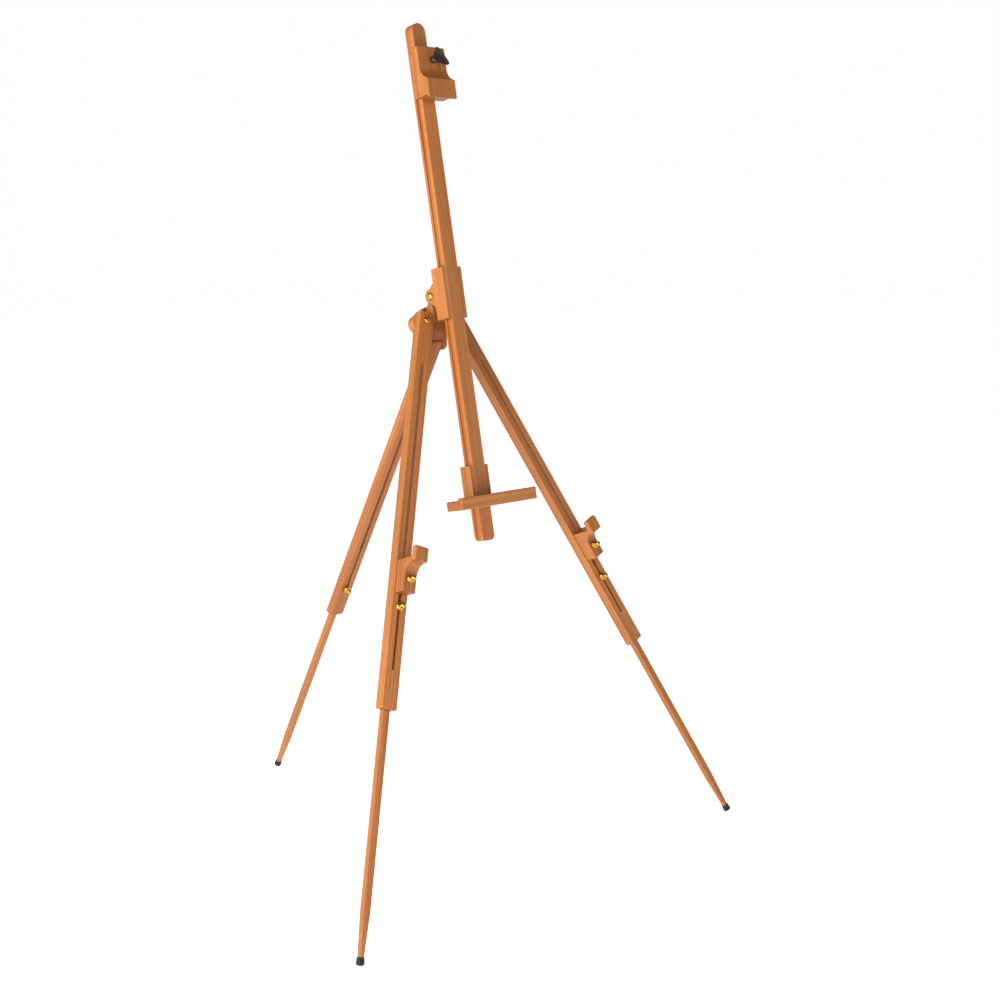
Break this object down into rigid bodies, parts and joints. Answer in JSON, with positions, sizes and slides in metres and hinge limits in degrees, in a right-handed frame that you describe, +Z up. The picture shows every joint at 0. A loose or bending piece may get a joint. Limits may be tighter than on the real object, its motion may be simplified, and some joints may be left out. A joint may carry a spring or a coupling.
{
  "type": "tripod field easel",
  "caption": "Folding wooden tripod easel with telescopic channel legs, sliding canvas pegs and a tilting mast that carries a ledge and a top clamp.",
  "frame": {"origin": "on the floor at the middle of the footprint of the open easel", "axes": "+Z up; +Y towards the rear leg; +X to the right of a person standing in front of the easel"},
  "size_m": [1.2308, 1.1428, 1.9579],
  "materials": {
    "beech": "oiled, orange-brown, fine straight grain",
    "brass": "polished",
    "zinc_steel": "zinc plated",
    "rubber": "matt black",
    "black_plastic": "glossy moulded black"
  },
  "bodies": {
    "head": {"head_block": "beech", "front_hinge_bolts": "brass", "rear_hinge_bolt": "brass", "hinge_washers": "brass", "hinge_nuts": "zinc_steel"},
    "carriage": {"tilt_bracket": "beech", "carriage_cheek_left": "beech", "carriage_cheek_right": "beech", "carriage_screws": "zinc_steel", "lock_insert": "brass", "tilt_bolt": "brass", "tilt_washers": "brass"},
    "tilt_knob": {"tilt_knob": "brass"},
    "lock_knob": {"lock_knob": "brass", "lock_stud": "zinc_steel"},
    "mast": {"mast": "beech"},
    "top_clamp": {"top_clamp_block": "beech", "top_clamp_runner": "beech", "top_clamp_dowels": "beech", "top_clamp_insert": "brass"},
    "wing_knob": {"wing_knob": "black_plastic", "wing_stud": "zinc_steel"},
    "ledge": {"ledge_shelf": "beech", "ledge_lip": "beech", "lip_dowels": "beech", "ledge_back_plate": "beech", "ledge_cheek_left": "beech", "ledge_cheek_right": "beech", "ledge_screws": "zinc_steel", "ledge_insert": "brass"},
    "ledge_knob": {"ledge_knob": "brass", "ledge_stud": "zinc_steel"},
    "upper_leg_left": {"upper_leg_left": "beech"},
    "lower_leg_left": {"lower_leg_left": "beech", "rubber_tip_left": "rubber", "leg_bolt_left": "brass", "leg_washer_left": "brass"},
    "leg_knob_left": {"leg_knob_left": "brass"},
    "peg_left": {"peg_left": "beech", "peg_bolt_left": "brass", "peg_washer_left": "brass"},
    "peg_knob_left": {"peg_knob_left": "brass"},
    "upper_leg_right": {"upper_leg_right": "beech"},
    "lower_leg_right": {"lower_leg_right": "beech", "rubber_tip_right": "rubber", "leg_bolt_right": "brass", "leg_washer_right": "brass"},
    "leg_knob_right": {"leg_knob_right": "brass"},
    "peg_right": {"peg_right": "beech", "peg_bolt_right": "brass", "peg_washer_right": "brass"},
    "peg_knob_right": {"peg_knob_right": "brass"},
    "upper_leg_rear": {"upper_leg_rear": "beech"},
    "lower_leg_rear": {"lower_leg_rear": "beech", "rubber_tip_rear": "rubber", "leg_bolt_rear": "brass", "leg_washer_rear": "brass"},
    "leg_knob_rear": {"leg_knob_rear": "brass"}
  },
  "joints": [
    {"name": "left_leg_hinge", "type": "hinge", "parent": "head", "child": "upper_leg_left", "pos_m": [-0.049, -0.1578, 1.272], "axis": [0, -0.9518, 0.3066], "range_deg": [0, 22.76]},
    {"name": "right_leg_hinge", "type": "hinge", "parent": "head", "child": "upper_leg_right", "pos_m": [0.049, -0.1578, 1.272], "axis": [0, 0.9518, -0.3066], "range_deg": [0, 22.76]},
    {"name": "rear_leg_hinge", "type": "hinge", "parent": "head", "child": "upper_leg_rear", "pos_m": [0, -0.13226, 1.21755], "axis": [-1, 0, 0], "range_deg": [0, 43]},
    {"name": "left_leg_slide", "type": "slide", "parent": "upper_leg_left", "child": "lower_leg_left", "axis": [0.3869, 0.2827, 0.8777], "range_m": [-0.134, 0.016]},
    {"name": "left_leg_knob_turn", "type": "hinge", "parent": "lower_leg_left", "child": "leg_knob_left", "pos_m": [-0.31709, -0.36655, 0.66794], "axis": [0, -0.9518, 0.3066], "continuous": true},
    {"name": "right_leg_slide", "type": "slide", "parent": "upper_leg_right", "child": "lower_leg_right", "axis": [-0.3869, 0.2827, 0.8777], "range_m": [-0.097, 0.04]},
    {"name": "right_leg_knob_turn", "type": "hinge", "parent": "lower_leg_right", "child": "leg_knob_right", "pos_m": [0.3314, -0.37701, 0.63546], "axis": [0, -0.9518, 0.3066], "continuous": true},
    {"name": "rear_leg_slide", "type": "slide", "parent": "upper_leg_rear", "child": "lower_leg_rear", "axis": [0, -0.4957, 0.8685], "range_m": [0, 0.45]},
    {"name": "rear_leg_knob_turn", "type": "hinge", "parent": "lower_leg_rear", "child": "leg_knob_rear", "pos_m": [0, 0.22476, 0.56474], "axis": [0, -0.8685, -0.4957], "continuous": true},
    {"name": "left_peg_slide", "type": "slide", "parent": "upper_leg_left", "child": "peg_left", "axis": [0.3869, 0.2827, 0.8777], "range_m": [-0.016, 0.48]},
    {"name": "left_peg_knob_turn", "type": "hinge", "parent": "peg_left", "child": "peg_knob_left", "pos_m": [-0.29465, -0.37918, 0.7282], "axis": [0, -0.9518, 0.3066], "continuous": true},
    {"name": "right_peg_slide", "type": "slide", "parent": "upper_leg_right", "child": "peg_right", "axis": [-0.3869, 0.2827, 0.8777], "range_m": [-0.018, 0.488]},
    {"name": "right_peg_knob_turn", "type": "hinge", "parent": "peg_right", "child": "peg_knob_right", "pos_m": [0.29774, -0.38144, 0.72118], "axis": [0, -0.9518, 0.3066], "continuous": true},
    {"name": "mast_tilt", "type": "hinge", "parent": "head", "child": "carriage", "pos_m": [0, -0.1561, 1.33], "axis": [-1, 0, 0], "range_deg": [-10.4, 79.6]},
    {"name": "tilt_knob_turn", "type": "hinge", "parent": "carriage", "child": "tilt_knob", "pos_m": [0.0293, -0.1561, 1.33], "axis": [1, 0, 0], "continuous": true},
    {"name": "mast_lock_turn", "type": "hinge", "parent": "carriage", "child": "lock_knob", "pos_m": [0, -0.16524, 1.37438], "axis": [0, 0.9836, -0.1805], "continuous": true},
    {"name": "mast_slide", "type": "slide", "parent": "carriage", "child": "mast", "axis": [0, 0.1805, 0.9836], "range_m": [-0.36, 0.32]},
    {"name": "top_clamp_slide", "type": "slide", "parent": "mast", "child": "top_clamp", "axis": [0, -0.1805, -0.9836], "range_m": [0, 0.42]},
    {"name": "wing_knob_turn", "type": "hinge", "parent": "top_clamp", "child": "wing_knob", "pos_m": [0, -0.14858, 1.86951], "axis": [0, -0.9836, 0.1805], "continuous": true},
    {"name": "ledge_slide", "type": "slide", "parent": "mast", "child": "ledge", "axis": [0, -0.1805, -0.9836], "range_m": [-0.33, 0.06]},
    {"name": "ledge_knob_turn", "type": "hinge", "parent": "ledge", "child": "ledge_knob", "pos_m": [0, -0.25448, 0.90477], "axis": [0, 0.9836, -0.1805], "continuous": true}
  ]
}
